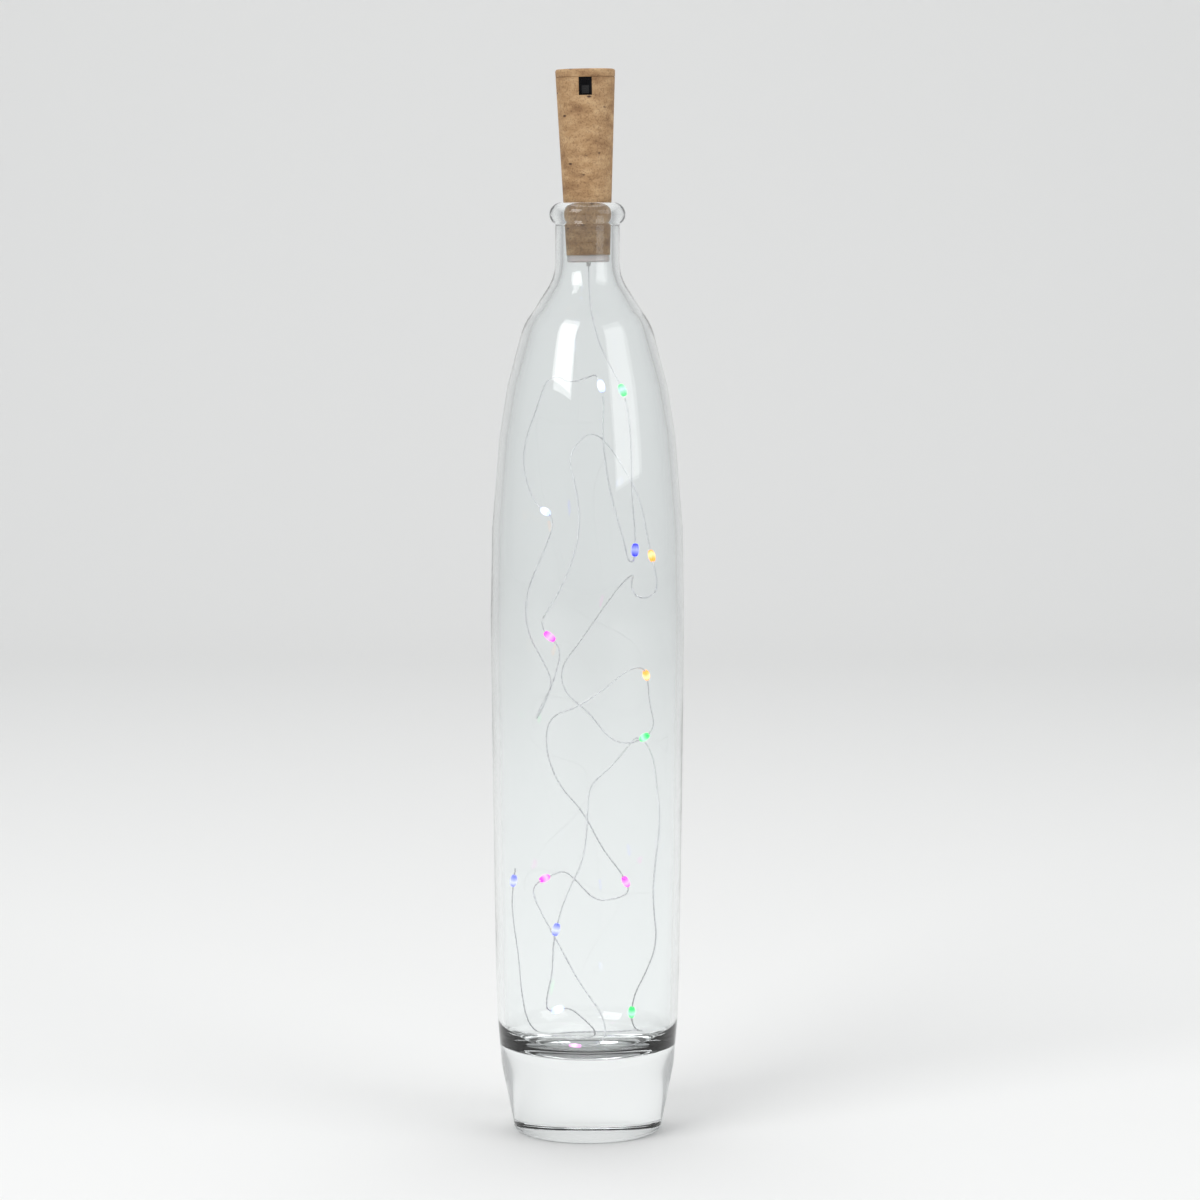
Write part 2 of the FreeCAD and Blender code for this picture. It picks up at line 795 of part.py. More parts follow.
gland_mouth = cork_seat.multVec(Vector(0, 0, value(gland_end)))
first_drop = cork_seat.multVec(Vector(0, 0, value(f"{gland_end} - first_run")))
route = [
    tuple(gland_mouth), tuple(first_drop), (1.5, -1, 316), (5.5, -3, 303),
    (11.5, -5, 293), (15, -9, 284), (16.5, -15, 268.5), (16.5, -20, 249), (18, -20, 233),
    (17.5, -21.5, 224), (15, -27, 224.5), (13.5, -26, 233), (11, -21, 241), (7.5, -14, 255),
    (5.5, -6, 272.5), (6.5, 0, 285), (4, 4, 294.5), (0, 10, 292.5), (-7, 12, 290.5),
    (-12, 10, 293.5), (-16.5, 11, 291.5), (-19.5, 12, 282.5), (-26, 13, 265.5), (-24.5, 11, 253),
    (-20, 5, 243.5), (-12.5, -3, 239.5), (-15, -9, 230.5), (-23, -16, 212.5), (-23, -18, 197.5),
    (-16.5, -15, 185), (-13, -11, 176.5), (-17, -8, 168.5), (-19.5, -10, 163), (-19, -16, 163.5),
    (-16, -20, 169.5), (-11.5, -22, 182), (-9.5, -25, 192), (-18.5, -26, 200), (-12.5, -23, 209),
    (-6, -15, 222), (-2.5, -5, 237), (-4.5, 5, 251.5), (-7.5, 11, 260.5), (-4.5, 16, 267),
    (2, 19, 271.5), (8.5, 20, 266), (14.5, 17, 257), (21, 13, 245.5), (23.5, 4, 230),
    (26, -5, 219), (26.5, -10, 212), (22.5, -12, 209), (18, -11, 210), (16.5, -7, 214),
    (18, -2, 218), (13.5, 3, 214), (5.5, 8, 202.5), (-3.5, 13, 189), (-11, 19, 179),
    (-9.5, 22, 168.5), (0.5, 22, 161), (9, 20, 150), (18, 15.5, 149), (27, 7, 156),
    (24, 3, 167), (23.5, -1, 175), (21.5, -8, 182.5), (15, -14, 182), (7, -20, 175.5),
    (-4, -24, 168.5), (-14.5, -22, 165), (-16, -16, 152), (-11.5, -9, 137), (-1.5, 1, 124.5),
    (5.5, 10, 109), (13, 15, 99), (17.5, 20, 90), (11.5, 24, 86.5), (3, 25, 85.5),
    (-3, 24, 92), (-9, 21, 98.5), (-14, 19, 97), (-20.5, 13, 95), (-22, 8, 91.5),
    (-17.5, 5, 83), (-9.5, 0, 69.5), (-3, -9, 59), (6, -17, 48.5), (7, -23, 41),
    (4, -25, 37), (-0.5, -23, 35), (-9, -19, 34.5), (-12.5, -12, 34.5), (-8.5, -5, 34.5),
    (0, -5, 35.5), (4, -10, 40), (-1.5, -14, 46.5), (-7.5, -17.5, 52), (-15, -21, 50),
    (-15.5, -24, 56), (-13, -23, 66), (-13, -22, 77), (-10.5, -23, 88.5), (-7, -20, 98),
    (-1.5, -13, 108), (0, -5, 121.5), (0, 4, 134), (8.5, 13, 140), (15, 21, 146),
    (19, 24.5, 151), (23, 21.5, 150), (26.5, 16, 144), (27.5, 10, 134), (28.5, 1, 121.5),
    (25.5, -9, 105), (24.5, -14, 91.5), (26.5, -11, 75.5), (22.5, -5, 62.5), (17.5, 0, 52),
    (17, 7, 39), (23, 12, 35.5), (21.5, 17, 36), (14, 21, 34.5), (4, 23, 34),
    (-8.5, 21.5, 34), (-18.5, 13, 34.5), (-24, 7, 40.5), (-26.5, 5, 54.5), (-27.5, 7, 67.5),
    (-30, 7, 81.5), (-30, 3, 92.5), (-28, -2, 103),
]
# The run of the route, counted from 0, that passes through each lamp
lamp_runs = [4, 8, 15, 24, 36, 48, 62, 65, 75, 81, 90, 97, 101, 118, 130]


def rounded_path(points):
    """Straight runs joined by tangent arcs, each arc as large as its two runs allow."""
    edges = []
    radii = []
    start = points[0]
    for before, corner, after in zip(points, points[1:], points[2:]):
        back, ahead = (before - corner).normalize(), (after - corner).normalize()
        half_turn = (math.pi - back.getAngle(ahead)) / 2
        reach = ARC_RUN_SHARE * min((before - corner).Length, (after - corner).Length)
        radius = reach / math.tan(half_turn)
        into, out = corner + back * reach, corner + ahead * reach
        inner = (back + ahead).normalize()
        middle = corner + inner * (radius / math.cos(half_turn) - radius)
        edges.append(Part.LineSegment(start, into).toShape())
        edges.append(Part.Arc(into, middle, out).toShape())
        radii.append(radius)
        start = out
    edges.append(Part.LineSegment(start, points[-1]).toShape())
    return Part.Wire(edges), radii


wire_points = [Vector(*place) for place in route]
path, bend_radii = rounded_path(wire_points)
print("wire radii", [round(radius, 1) for radius in bend_radii])
print("wire length", round(path.Length, 1), "smallest radius", round(min(bend_radii), 2))


def wire_section(centre, way):
    """A many-sided section of the wire, square to the way it starts."""
    turn = FreeCAD.Rotation(Vector(0, 0, 1), way)
    radius = value("wire_diameter / 2")
    corners = []
    for i in range(WIRE_SIDES + 1):
        angle = 2 * math.pi * i / WIRE_SIDES
        corners.append(centre + turn.multVec(Vector(math.cos(angle), math.sin(angle), 0) * radius))
    return Part.makePolygon(corners)


section = wire_section(wire_points[0], wire_points[1] - wire_points[0])
string = doc.addObject("Part::Feature", "light_string")
string.Shape = path.makePipeShell([section], True, False)
section_area = Part.Face(section).Area
print("wire volume", round(string.Shape.Volume, 2), "section by length", round(section_area * path.Length, 2))
keep("light_string", string)

# Lamps: clear drops moulded round the wire, each bored for it


def prism(body, kind, name, sides, radius, length):
    """A many-sided feature of a body, even to both sides of its middle."""
    solid = body.newObject(kind, name)
    solid.Polygon = sides
    bind(solid, "Circumradius", radius)
    bind(solid, "Height", length)
    bind(solid, "Placement.Base.z", f"-({length}) / 2")
    return solid


def lamp(name):
    body = doc.addObject("PartDesign::Body", name)
    drop = prism(body, "PartDesign::AdditivePrism", name + "_drop", LAMP_SIDES, "lamp_radius", "lamp_length")
    doc.recompute()
    flats = [f"Face{i}" for i, face in enumerate(drop.Shape.Faces, start=1) if len(face.Edges) == LAMP_SIDES]
    taper = body.newObject("PartDesign::Chamfer", name + "_taper")
    taper.Base = (drop, flats)
    taper.ChamferType = "Two distances"
    bind(taper, "Size", "(lamp_length - lamp_straight) / 2")
    bind(taper, "Size2", "lamp_end_step")
    through = "lamp_length + overrun"
    prism(body, "PartDesign::SubtractivePrism", name + "_bore", BORE_SIDES, "lamp_bore_radius", through)
    return body


for number, run in enumerate(lamp_runs, start=1):
    start, end = wire_points[run], wire_points[run + 1]
    along = FreeCAD.Rotation(Vector(0, 0, 1), end - start)
    name = f"lamp_{number:02d}"
    keep(name, lamp(name), FreeCAD.Placement((start + end) / 2, along))

doc.recompute()
for thing in doc.Objects:
    for state in ("Invalid", "Error"):
        if state in thing.State:
            raise RuntimeError(f"{thing.Name} is {state}")
for name, thing in nodes.items():
    if thing.Shape.isNull() or not thing.Shape.isValid():
        raise RuntimeError(f"{name} has no valid shape")

os.makedirs("parts", exist_ok=True)
for name, thing in nodes.items():
    thing.Shape.exportStep(f"parts/{name}.step")
print(len(nodes), "parts written")
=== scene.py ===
import math

import bmesh
import bpy
import numpy as np
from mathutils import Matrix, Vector


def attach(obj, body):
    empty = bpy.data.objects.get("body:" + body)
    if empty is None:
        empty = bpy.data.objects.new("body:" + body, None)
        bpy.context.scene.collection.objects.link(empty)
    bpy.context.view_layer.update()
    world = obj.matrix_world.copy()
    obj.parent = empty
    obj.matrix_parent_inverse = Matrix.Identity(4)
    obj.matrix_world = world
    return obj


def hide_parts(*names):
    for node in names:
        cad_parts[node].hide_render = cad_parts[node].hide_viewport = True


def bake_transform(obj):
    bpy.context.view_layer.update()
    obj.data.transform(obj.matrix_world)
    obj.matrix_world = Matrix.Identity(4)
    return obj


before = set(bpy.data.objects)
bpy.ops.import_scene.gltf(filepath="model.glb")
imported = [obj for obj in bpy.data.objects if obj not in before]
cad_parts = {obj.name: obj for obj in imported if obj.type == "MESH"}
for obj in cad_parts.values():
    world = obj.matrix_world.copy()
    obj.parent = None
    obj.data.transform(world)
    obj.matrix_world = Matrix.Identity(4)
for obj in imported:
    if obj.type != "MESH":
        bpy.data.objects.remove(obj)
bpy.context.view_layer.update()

# Cork bottle light: clear bottle, cork-shaped battery case, fine wire with fifteen small lamps

mm = 0.001


# sRGB hex to linear: the lower part divided by 12.92, the rest a 2.4 power curve
def linear(hexColour):
    parts = np.array([int(hexColour[i:i + 2], 16) for i in (1, 3, 5)]) / 255
    curve = np.where(parts <= 0.04045, parts / 12.92, ((parts + 0.055) / 1.055) ** 2.4)
    return (*[float(c) for c in curve], 1.0)


# Camera: level of the bottle's rim, one and a half metres off, tipped down

camera = {"place": (0.0048, -1.53, 0.36), "tipDown": 5.7, "lens": 119.5, "sensor": 36, "near": 0.05}
eye = bpy.data.objects.new("camera", bpy.data.cameras.new("camera"))
eye.data.lens = camera["lens"]
eye.data.sensor_width = camera["sensor"]
eye.data.clip_start = camera["near"]
eye.location = camera["place"]
eye.rotation_euler = (math.radians(90 - camera["tipDown"]), 0, 0)
bpy.context.scene.collection.objects.link(eye)
bpy.context.scene.camera = eye


# Meshes from arrays


# Point (i, j) of a grid is number i * cols + j, i along the shape and j around it, and each face joins
# (i, j), (i, j + 1), (i + 1, j + 1) and (i + 1, j)
def gridFaces(rows, cols, start=0, closeAround=True, closeAlong=False, capEnds=False):
    index = start + np.arange(rows * cols).reshape(rows, cols)
    ends = [index[0, ::-1].tolist(), index[-1].tolist()] if capEnds else []
    if closeAround:
        index = np.hstack([index, index[:, :1]])
    if closeAlong:
        index = np.vstack([index, index[:1]])
    quads = np.stack([index[:-1, :-1], index[:-1, 1:], index[1:, 1:], index[1:, :-1]], axis=-1)
    return quads.reshape(-1, 4).tolist() + ends


def meshObject(name, vertices, faces):
    mesh = bpy.data.meshes.new(name)
    mesh.from_pydata(vertices.tolist(), [], faces)
    mesh.update()
    mesh.shade_smooth()
    thing = bpy.data.objects.new(name, mesh)
    bpy.context.scene.collection.objects.link(thing)
    return thing


# Points of a minor arc: centre = middle of the chord plus or minus its normal times
# sqrt(r^2 - half chord^2), then points at even angles about it. Positive: centre on the left.
def arcSteps(start, end, radius):
    a, b = np.array(start, float), np.array(end, float)
    chord = b - a
    length = np.hypot(*chord)
    normal = np.array([-chord[1], chord[0]]) / length
    centre = (a + b) / 2 + normal * math.copysign(math.sqrt(radius**2 - length**2 / 4), radius)
    first = math.atan2(*(a - centre)[::-1])
    last = math.atan2(*(b - centre)[::-1])
    sweep = (last - first + math.pi) % (2 * math.pi) - math.pi
    count = max(2, math.ceil(abs(math.degrees(sweep)) / 6))    # a point for every 6 degrees
    angles = first + sweep * np.arange(count) / count
    return centre + abs(radius) * np.stack([np.cos(angles), np.sin(angles)], axis=-1)


# Half outline in millimetres from steps of (radius, height, arc to the next or None)
def outline(steps):
    runs = []
    for here, there in zip(steps, steps[1:] + steps[:1]):
        if here[2] is None:
            runs.append(np.array([here[:2]], float))
        else:
            runs.append(arcSteps(here[:2], there[:2], here[2]))
    return np.vstack(runs)


# Point (r, z) of the profile goes to (r cos a, r sin a, z) for every angle a, in metres
def turnedPoints(profile, around):
    angles = 2 * math.pi * np.arange(around) / around
    r, z = profile[:, :1], profile[:, 1:]
    return np.stack([r * np.cos(angles), r * np.sin(angles), z + 0 * angles], axis=-1) * mm


# A ring-shaped piece has a closed profile, and one that meets the axis has not
def turned(name, profile, around=96, closed=False):
    points = turnedPoints(profile, around)
    return cleaned(meshObject(name, points.reshape(-1, 3), gridFaces(*points.shape[:2], closeAlong=closed)))


# Merges the points on the axis and turns every face outwards
def cleaned(thing):
    work = bmesh.new()
    work.from_mesh(thing.data)
    bmesh.ops.remove_doubles(work, verts=work.verts, dist=1e-7)
    bmesh.ops.dissolve_degenerate(work, edges=work.edges, dist=1e-8)
    bmesh.ops.recalc_face_normals(work, faces=work.faces)
    work.to_mesh(thing.data)
    work.free()
    thing.data.shade_smooth()
    return thing


def meshPlaces(mesh):
    places = np.empty(len(mesh.vertices) * 3)
    mesh.vertices.foreach_get("co", places)
    return places.reshape(-1, 3)


# UV map that gives each corner of a face the row of uv that belongs to its vertex
def addMap(mesh, uv):
    corner = np.empty(len(mesh.loops), dtype=np.int32)
    mesh.loops.foreach_get("vertex_index", corner)
    mesh.uv_layers.new(name="UVMap").data.foreach_set("uv", uv[corner].ravel())


# Materials


def newMaterial(name):
    material = bpy.data.materials.new(name)
    material.use_nodes = True
    tree = material.node_tree
    tree.nodes.clear()
    output = tree.nodes.new("ShaderNodeOutputMaterial")
    shader = tree.nodes.new("ShaderNodeBsdfPrincipled")
    tree.links.new(shader.outputs[0], output.inputs["Surface"])
    return material, tree, shader


# One node with its settings and inputs: an input takes a value or another node's output
def addNode(tree, kind, links=None, **settings):
    node = tree.nodes.new(kind)
    for key, setting in settings.items():
        setattr(node, key, setting)
    for key, source in (links or {}).items():
        if isinstance(source, bpy.types.NodeSocket):
            tree.links.new(source, node.inputs[key])
        else:
            node.inputs[key].default_value = source
    return node


def setShader(shader, **values):
    for key, number in values.items():
        shader.inputs[key].default_value = number


# Colour ramp from (place, hex colour) stops
def ramp(tree, source, *stops):
    node = addNode(tree, "ShaderNodeValToRGB", {"Fac": source})
    elements = node.color_ramp.elements
    elements.remove(elements[-1])
    for i, (place, hexColour) in enumerate(stops):
        element = elements.new(place) if i else elements[0]
        element.position = place
        element.color = linear(hexColour)
    return node.outputs["Color"]


def objectPlace(tree):
    return addNode(tree, "ShaderNodeTexCoord").outputs["Object"]


def stretched(tree, place, scale):
    return addNode(tree, "ShaderNodeMapping", {"Vector": place, "Scale": scale}).outputs["Vector"]


# Noise whose features are about size millimetres across
def grain(tree, place, size, **settings):
    links = {"Vector": place, "Scale": 1 / (size * mm), **settings}
    return addNode(tree, "ShaderNodeTexNoise", links).outputs["Fac"]


# Relief of the given depth in millimetres
def bump(tree, shader, height, depth):
    node = addNode(tree, "ShaderNodeBump", {"Height": height, "Distance": depth * mm, "Strength": 1.0})
    tree.links.new(node.outputs["Normal"], shader.inputs["Normal"])


def flintGlass():
    # Clear soda-lime glass, blown in a mould: faint cool tint, surface waves of a few centimetres
    material, tree, shader = newMaterial("flint glass, mould blown")
    setShader(shader, **{"Base Color": linear("#FCFEFE"), "Roughness": 0.0, "IOR": 1.5,
                         "Transmission Weight": 1.0})
    bump(tree, shader, grain(tree, objectPlace(tree), 26, Detail=0.0), 0.12)
    return material


def corkEffectPlastic():
    # ABS moulded with a matt skin and printed as cork: tan ground, pale and dark cells of 1 to 3 mm,
    # dark pores drawn out round the stopper
    material, tree, shader = newMaterial("cork effect ABS, printed")
    place = objectPlace(tree)
    drawnOut = stretched(tree, place, (0.55, 0.55, 1.25))
    cloud = grain(tree, drawnOut, 4.5, Detail=4.0, Roughness=0.62)
    ground = ramp(tree, cloud, (0.3, "#8F6A45"), (0.5, "#B18C62"), (0.72, "#CBA97F"))
    fine = grain(tree, place, 0.7, Detail=3.0)
    speckle = ramp(tree, fine, (0.36, "#7A5838"), (0.5, "#FFFFFF"))
    speckled = addNode(tree, "ShaderNodeMix", {0: 0.35, 6: ground, 7: speckle}, data_type="RGBA",
                       blend_type="MULTIPLY").outputs[2]
    flakes = addNode(tree, "ShaderNodeTexVoronoi", {"Vector": drawnOut, "Scale": 1 / (3.4 * mm)},
                     feature="F1")
    pores = ramp(tree, flakes.outputs["Distance"], (0.1, "#FFFFFF"), (0.2, "#000000"))
    rarer = ramp(tree, grain(tree, place, 6.0), (0.5, "#000000"), (0.58, "#FFFFFF"))
    both = addNode(tree, "ShaderNodeMath", {0: pores, 1: rarer}, operation="MULTIPLY").outputs[0]
    colour = addNode(tree, "ShaderNodeMix", {0: both, 6: speckled, 7: linear("#4A2F1C")},
                     data_type="RGBA").outputs[2]
    tree.links.new(colour, shader.inputs["Base Color"])
    setShader(shader, **{"Roughness": 0.62, "IOR": 1.5})
    depth = addNode(tree, "ShaderNodeMath", {0: fine, 1: both}, operation="SUBTRACT").outputs[0]
    bump(tree, shader, depth, 0.09)
    return material


def clearPlastic():
    # Natural polypropylene, moulded and left milky: light goes in and spreads
    material, tree, shader = newMaterial("natural polypropylene, moulded")
    setShader(shader, **{"Base Color": linear("#F6EAE6"), "Roughness": 0.28, "IOR": 1.49,
                         "Transmission Weight": 0.12, "Subsurface Weight": 0.35, "Subsurface Scale": 0.002})
    shader.inputs["Subsurface Radius"].default_value = (1.0, 0.7, 0.6)
    bump(tree, shader, grain(tree, objectPlace(tree), 0.9, Detail=2.0), 0.01)
    return material


def mouldedPlastic(name, dark, light, rough):
    # Injection moulded ABS with a fine spark-eroded texture, grit about 0.15 mm drawn at 0.3 mm
    material, tree, shader = newMaterial(name)
    place = objectPlace(tree)
    shade = ramp(tree, grain(tree, place, 9.0), (0.35, dark), (0.65, light))
    tree.links.new(shade, shader.inputs["Base Color"])
    setShader(shader, **{"Roughness": rough, "IOR": 1.53})
    bump(tree, shader, grain(tree, place, 0.3, Detail=2.0), 0.02)
    return material


def metal(name, dark, light, rough, scratch):
    # Rolled or pressed and plated: fine lines along the strip, scratch millimetres apart, soft sheen
    material, tree, shader = newMaterial(name)
    lines = grain(tree, stretched(tree, objectPlace(tree), (1.0, 1.0, 0.08)), scratch, Detail=3.0)
    tree.links.new(ramp(tree, lines, (0.3, dark), (0.7, light)), shader.inputs["Base Color"])
    setShader(shader, **{"Metallic": 1.0, "Roughness": rough})
    bump(tree, shader, lines, 0.008)
    return material


def silveredWire():
    # Silver-coloured copper wire with clear enamel, pulled bright
    material, tree, shader = newMaterial("silvered copper wire, enamelled")
    streaks = grain(tree, addNode(tree, "ShaderNodeUVMap").outputs["UV"], 2.0, Detail=2.0)
    tree.links.new(ramp(tree, streaks, (0.3, "#E4E3E7"), (0.7, "#FDFDFE")), shader.inputs["Base Color"])
    setShader(shader, **{"Metallic": 0.7, "Roughness": 0.3, "Coat Weight": 0.6, "Coat Roughness": 0.08})
    return material


def circuitLaminate():
    # Glass-epoxy board under green solder mask: the cloth inside mottles it a little
    material, tree, shader = newMaterial("glass epoxy laminate, solder mask")
    weave = grain(tree, objectPlace(tree), 0.8, Detail=1.0)
    tree.links.new(ramp(tree, weave, (0.35, "#1E5B34"), (0.65, "#2B7443")), shader.inputs["Base Color"])
    setShader(shader, **{"Roughness": 0.3, "Coat Weight": 0.4})
    return material


def lampEpoxy(name, rim, core, strength):
    # Clear epoxy drop over a lit chip: pale and hot in the middle of its length, deeper to its ends
    material, tree, shader = newMaterial(name)
    split = addNode(tree, "ShaderNodeSeparateXYZ", {"Vector": addNode(tree, "ShaderNodeUVMap").outputs["UV"]})
    fromMiddle = addNode(tree, "ShaderNodeMath", {0: split.outputs["Y"], 1: 0.5},
                         operation="SUBTRACT").outputs[0]
    away = addNode(tree, "ShaderNodeMath", {0: fromMiddle}, operation="ABSOLUTE").outputs[0]
    colour = ramp(tree, away, (0.02, core), (0.4, rim))
    tree.links.new(colour, shader.inputs["Emission Color"])
    setShader(shader, **{"Base Color": linear(rim), "Emission Strength": strength, "Roughness": 0.12,
                         "IOR": 1.53})
    return material


# String of lamps: one smooth line through the bottle, two fine wires twisted along it

string = {
    "diameter": 0.76,        # over both wires, mm
    "wire": 0.37,            # each wire, mm
    "twist": 4.2,            # one turn of the twist, mm
    "step": 0.45,            # spacing of the rings along the wires, mm
    "sides": 8,
    "realLength": 1.47,      # metres
    "hangFrom": (0, 0, 0.337),
    "restOn": (0, 0, 0.06),
}
route = [
    (0.422, 0, 335.804), (0.571, 0, 327.305),
    (1.5, -1, 316), (5.5, -3, 303),
    (11.5, -5, 293), (15, -9, 284), (16.5, -15, 268.5), (16.5, -20, 249), (18, -20, 233),
    (17.5, -21.5, 224), (15, -27, 224.5), (13.5, -26, 233), (11, -21, 241), (7.5, -14, 255),
    (5.5, -6, 272.5), (6.5, 0, 285), (4, 4, 294.5), (0, 10, 292.5), (-7, 12, 290.5),
    (-12, 10, 293.5), (-16.5, 11, 291.5), (-19.5, 12, 282.5), (-26, 13, 265.5), (-24.5, 11, 253),
    (-20, 5, 243.5), (-12.5, -3, 239.5), (-15, -9, 230.5), (-23, -16, 212.5), (-23, -18, 197.5),
    (-16.5, -15, 185), (-13, -11, 176.5), (-17, -8, 168.5), (-19.5, -10, 163), (-19, -16, 163.5),
    (-16, -20, 169.5), (-11.5, -22, 182), (-9.5, -25, 192), (-18.5, -26, 200), (-12.5, -23, 209),
    (-6, -15, 222), (-2.5, -5, 237), (-4.5, 5, 251.5), (-7.5, 11, 260.5), (-4.5, 16, 267),
    (2, 19, 271.5), (8.5, 20, 266), (14.5, 17, 257), (21, 13, 245.5), (23.5, 4, 230),
    (26, -5, 219), (26.5, -10, 212), (22.5, -12, 209), (18, -11, 210), (16.5, -7, 214),
    (18, -2, 218), (13.5, 3, 214), (5.5, 8, 202.5), (-3.5, 13, 189), (-11, 19, 179),
    (-9.5, 22, 168.5), (0.5, 22, 161), (9, 20, 150), (18, 15.5, 149), (27, 7, 156),
    (24, 3, 167), (23.5, -1, 175), (21.5, -8, 182.5), (15, -14, 182), (7, -20, 175.5),
    (-4, -24, 168.5), (-14.5, -22, 165), (-16, -16, 152), (-11.5, -9, 137), (-1.5, 1, 124.5),
    (5.5, 10, 109), (13, 15, 99), (17.5, 20, 90), (11.5, 24, 86.5), (3, 25, 85.5),
    (-3, 24, 92), (-9, 21, 98.5), (-14, 19, 97), (-20.5, 13, 95), (-22, 8, 91.5),
    (-17.5, 5, 83), (-9.5, 0, 69.5), (-3, -9, 59), (6, -17, 48.5), (7, -23, 41),
    (4, -25, 37), (-0.5, -23, 35), (-9, -19, 34.5), (-12.5, -12, 34.5), (-8.5, -5, 34.5),
    (0, -5, 35.5), (4, -10, 40), (-1.5, -14, 46.5), (-7.5, -17.5, 52), (-15, -21, 50),
    (-15.5, -24, 56), (-13, -23, 66), (-13, -22, 77), (-10.5, -23, 88.5), (-7, -20, 98),
    (-1.5, -13, 108), (0, -5, 121.5), (0, 4, 134), (8.5, 13, 140), (15, 21, 146),
    (19, 24.5, 151), (23, 21.5, 150), (26.5, 16, 144), (27.5, 10, 134), (28.5, 1, 121.5),
    (25.5, -9, 105), (24.5, -14, 91.5), (26.5, -11, 75.5), (22.5, -5, 62.5), (17.5, 0, 52),
    (17, 7, 39), (23, 12, 35.5), (21.5, 17, 36), (14, 21, 34.5), (4, 23, 34),
    (-8.5, 21.5, 34), (-18.5, 13, 34.5), (-24, 7, 40.5), (-26.5, 5, 54.5), (-27.5, 7, 67.5),
    (-30, 7, 81.5), (-30, 3, 92.5), (-28, -2, 103),
]
# The run of the route, counted from 0, that passes through each lamp
lampRuns = [4, 8, 15, 24, 36, 48, 62, 65, 75, 81, 90, 97, 101, 118, 130]


# The points of the smooth line that a second-degree spline draws from the route
def splineLine(points):
    curve = bpy.data.curves.new("stringLine", "CURVE")
    curve.dimensions = "3D"
    curve.resolution_u = 10
    spline = curve.splines.new("NURBS")
    spline.points.add(len(points) - 1)
    flat = np.hstack([np.array(points, float) * mm, np.ones((len(points), 1))])
    spline.points.foreach_set("co", flat.ravel())
    spline.order_u = 3
    spline.use_endpoint_u = True
    holder = bpy.data.objects.new("stringLine", curve)
    bpy.context.scene.collection.objects.link(holder)
    bpy.context.view_layer.update()
    mesh = bpy.data.meshes.new_from_object(holder)
    line = meshPlaces(mesh)
    bpy.data.objects.remove(holder)
    bpy.data.meshes.remove(mesh)
    return line


# The line read again at an even spacing of its length, and the length up to each point
def evenly(line, step):
    reach = np.concatenate([[0], np.cumsum(np.linalg.norm(np.diff(line, axis=0), axis=1))])
    moved = np.concatenate([[True], np.diff(reach) > 1e-9])
    line, reach = line[moved], reach[moved]
    marks = np.linspace(0, reach[-1], int(reach[-1] / step) + 1)
    return np.stack([np.interp(marks, reach, line[:, k]) for k in range(3)], axis=-1), marks


# Two directions square to the line at each point: the tangent crossed with one fixed direction, and
# the tangent crossed with that. The fixed one is, of many spread evenly over a half sphere by the
# golden angle, the one that no tangent comes near.
def sideways(line):
    tangent = np.gradient(line, axis=0)
    tangent /= np.linalg.norm(tangent, axis=1)[:, None]
    tries, goldenAngle = 900, 2.399963
    turn = goldenAngle * np.arange(tries)
    up = 1 - (np.arange(tries) + 0.5) / tries
    flat = np.sqrt(1 - up**2)
    choices = np.stack([flat * np.cos(turn), flat * np.sin(turn), up], axis=-1)
    fixed = choices[np.argmin(np.abs(choices @ tangent.T).max(axis=1))]
    first = np.cross(tangent, fixed)
    first /= np.linalg.norm(first, axis=1)[:, None]
    return first, np.cross(tangent, first)


# A ring of points round each point of the line: line + radius * (first cos a + second sin a)
def pipe(line, radius, sides):
    first, second = sideways(line)
    angles = 2 * math.pi * np.arange(sides)[:, None] / sides
    return line[:, None] + radius * (first[:, None] * np.cos(angles) + second[:, None] * np.sin(angles))


# Strand k stands off the line by half a wire, at an angle of k half turns plus the length over
# the twist in whole turns, and each strand is a pipe on its own line. The UV map has metres along
# the wire in U and the way round the strand in V.
def twistedWires(line, marks):
    first, second = sideways(line)
    radius, sides = string["wire"] * mm / 2, string["sides"]
    strands, faces = [], []
    for k in (0, 1):
        angle = math.pi * k + 2 * math.pi * marks[:, None] / (string["twist"] * mm)
        off = first * np.cos(angle) + second * np.sin(angle)
        strands.append(pipe(line + off * radius, radius, sides).reshape(-1, 3))
        faces += gridFaces(len(line), sides, start=k * len(line) * sides, capEnds=True)
    thing = cleaned(meshObject("lightString_wires", np.vstack(strands), faces))
    along, around = np.repeat(marks, sides), np.tile(np.arange(sides) / sides, len(line))
    addMap(thing.data, np.tile(np.stack([along, around * string["wire"] * mm], axis=-1), (2, 1)))
    return thing


stringLine, stringMarks = evenly(splineLine(route), string["step"] * mm)
print("string line", round(float(stringMarks[-1]), 4), "m")
wires = twistedWires(stringLine, stringMarks)
wires.data.materials.append(silveredWire())

# Lamps: epoxy drops, a little longer than wide, on the middle of their runs

lamps = {
    "length": 5.0, "radius": 1.42, "end": 0.62, "tip": 0.3, "swell": 0.6,    # mm, and the swell's power
    "rings": 20, "sides": 24,
    "strength": 1.25,
    "colours": ["green", "blue", "white", "white", "magenta", "amber", "green", "amber", "magenta",
                "magenta", "pink", "white", "blueWhite", "green", "blueWhite"],
    "glow": {    # ends, middle, slot
        "green": ("#12E862", "#B9FFD6", "lamp_green"),
        "blue": ("#232CFF", "#A4ACFF", "lamp_blue"),
        "white": ("#BCC9FF", "#FCFDFF", "lamp_white"),
        "magenta": ("#F030CC", "#FFBAF1", "lamp_magenta"),
        "amber": ("#FFA22C", "#FFE3AE", "lamp_amber"),
        "pink": ("#F59CEA", "#FFE4FA", "lamp_pink"),
        "blueWhite": ("#5F6AFF", "#D0D4FF", "lamp_blue_white"),
    },
}


